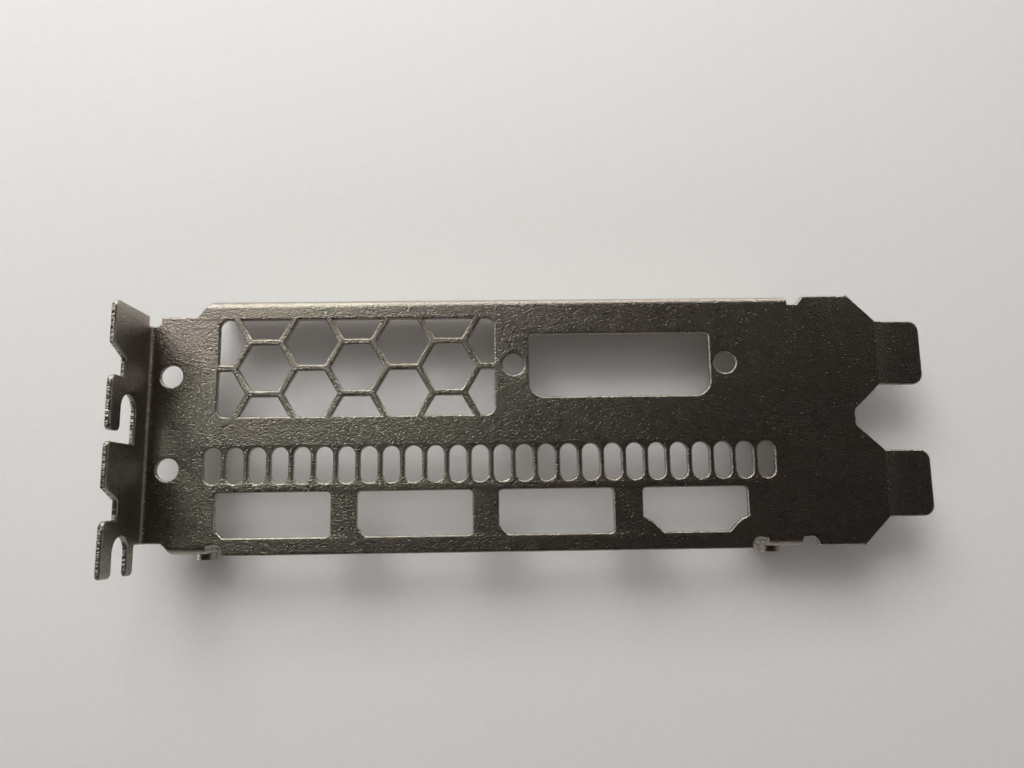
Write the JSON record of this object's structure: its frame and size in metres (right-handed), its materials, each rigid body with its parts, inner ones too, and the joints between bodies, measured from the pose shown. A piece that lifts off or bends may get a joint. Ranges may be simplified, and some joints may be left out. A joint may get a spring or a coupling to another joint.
{
  "type": "dual-slot expansion card bracket",
  "caption": "Folded steel bracket covering two case slots, with screw tab, tongues, stiffening flange, board tabs, connector cut-outs and vents.",
  "frame": {"origin": "centre of the bounding box at the level the bracket lies on: the ends of the board tabs and the flange's edge", "axes": "+X along the bracket from the screw tab to the tongues, +Y across the two slots towards the flange, +Z out of the case, normal to the outer face"},
  "size_m": [0.1208, 0.0414, 0.0219],
  "materials": {
    "plated_steel": "satin nickel plate over fine-grained sheet steel"
  },
  "bodies": {
    "root": {"bracket": "plated_steel"}
  },
  "joints": []
}
